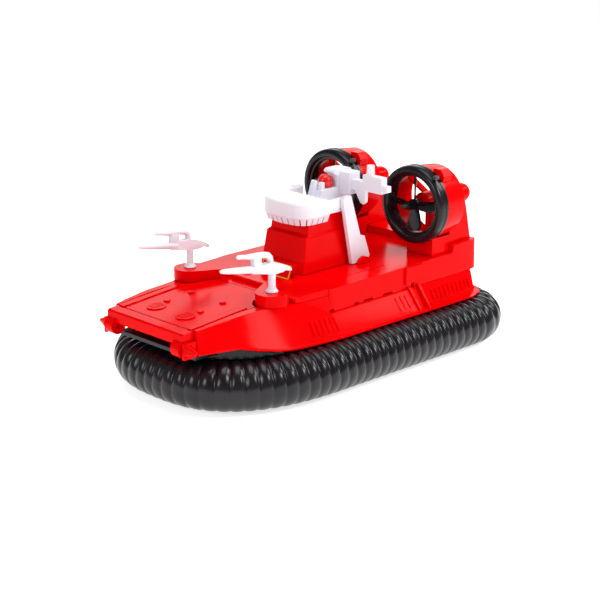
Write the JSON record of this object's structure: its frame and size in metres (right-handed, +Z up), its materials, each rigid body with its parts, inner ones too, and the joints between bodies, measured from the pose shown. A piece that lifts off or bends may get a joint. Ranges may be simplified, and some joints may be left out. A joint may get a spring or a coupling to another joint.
{
  "type": "toy hovercraft",
  "caption": "Toy fire hovercraft with a ribbed skirt, bow ramp, bridge, mast, water cannons and ducted fans.",
  "frame": {"origin": "centre of the bottom of the bounding box, on the floor", "axes": "+X towards the bow, +Y to port, +Z up"},
  "size_m": [0.4104, 0.2476, 0.194],
  "materials": {
    "red": "glossy moulded plastic",
    "white": "satin moulded plastic",
    "black": "satin moulded plastic",
    "skirt_black": "satin soft plastic"
  },
  "bodies": {
    "hovercraft": {"bay_floor": "black", "bearing_block_front_port": "black", "bearing_block_front_starboard": "black", "bearing_block_rear_port": "black", "bearing_block_rear_starboard": "black", "belly_plate": "black", "bow_apron": "black", "bridge_tower": "red", "cannon_pod_port": "red", "cannon_pod_starboard": "red", "deckhouse": "red", "fan_duct_port": "red", "fan_duct_starboard": "red", "fan_ring_port": "black", "fan_ring_starboard": "black", "fan_tower_port": "red", "fan_tower_starboard": "red", "hinge_lug_port": "red", "hinge_lug_starboard": "red", "hull": "red", "pivot_boss_port": "red", "pivot_boss_starboard": "red", "ring_clip_port": "black", "ring_clip_starboard": "black", "skirt": "skirt_black"},
    "ramp": {"bow_ramp": "red"},
    "canopy": {"bridge_canopy": "white", "mast": "white", "beacon": "red"},
    "fan_rotor_port": {"fan_port": "black"},
    "fan_rotor_starboard": {"fan_starboard": "black"},
    "cannon_port": {"water_cannon_port": "white"},
    "cannon_starboard": {"water_cannon_starboard": "white"},
    "front_axle": {"axle_front": "black", "wheel_front_port": "black", "wheel_front_starboard": "black"},
    "rear_axle": {"axle_rear": "black", "wheel_rear_port": "black", "wheel_rear_starboard": "black"}
  },
  "joints": [
    {"name": "ramp_hinge", "type": "hinge", "parent": "hovercraft", "child": "ramp", "pos_m": [0.1967, 0, 0.0675], "axis": [0, 1, 0], "range_deg": [0, 200]},
    {"name": "canopy_hinge", "type": "hinge", "parent": "hovercraft", "child": "canopy", "pos_m": [-0.052, 0, 0.098], "axis": [0, -1, 0], "range_deg": [0, 20]},
    {"name": "fan_spin_port", "type": "hinge", "parent": "hovercraft", "child": "fan_rotor_port", "pos_m": [-0.1055, 0.0564, 0.1485], "axis": [1, 0, 0], "continuous": true},
    {"name": "fan_spin_starboard", "type": "hinge", "parent": "hovercraft", "child": "fan_rotor_starboard", "pos_m": [-0.1055, -0.0564, 0.1485], "axis": [1, 0, 0], "continuous": true},
    {"name": "cannon_swivel_port", "type": "hinge", "parent": "hovercraft", "child": "cannon_port", "pos_m": [0.0946, 0.0578, 0.1], "axis": [0, 0, 1], "range_deg": [0, 120]},
    {"name": "cannon_swivel_starboard", "type": "hinge", "parent": "hovercraft", "child": "cannon_starboard", "pos_m": [0.0946, -0.0578, 0.1], "axis": [0, 0, -1], "range_deg": [0, 120]},
    {"name": "front_axle_spin", "type": "hinge", "parent": "hovercraft", "child": "front_axle", "pos_m": [0.118, 0, 0.0105], "axis": [0, 1, 0], "continuous": true},
    {"name": "rear_axle_spin", "type": "hinge", "parent": "hovercraft", "child": "rear_axle", "pos_m": [-0.138, 0, 0.0105], "axis": [0, 1, 0], "continuous": true}
  ]
}
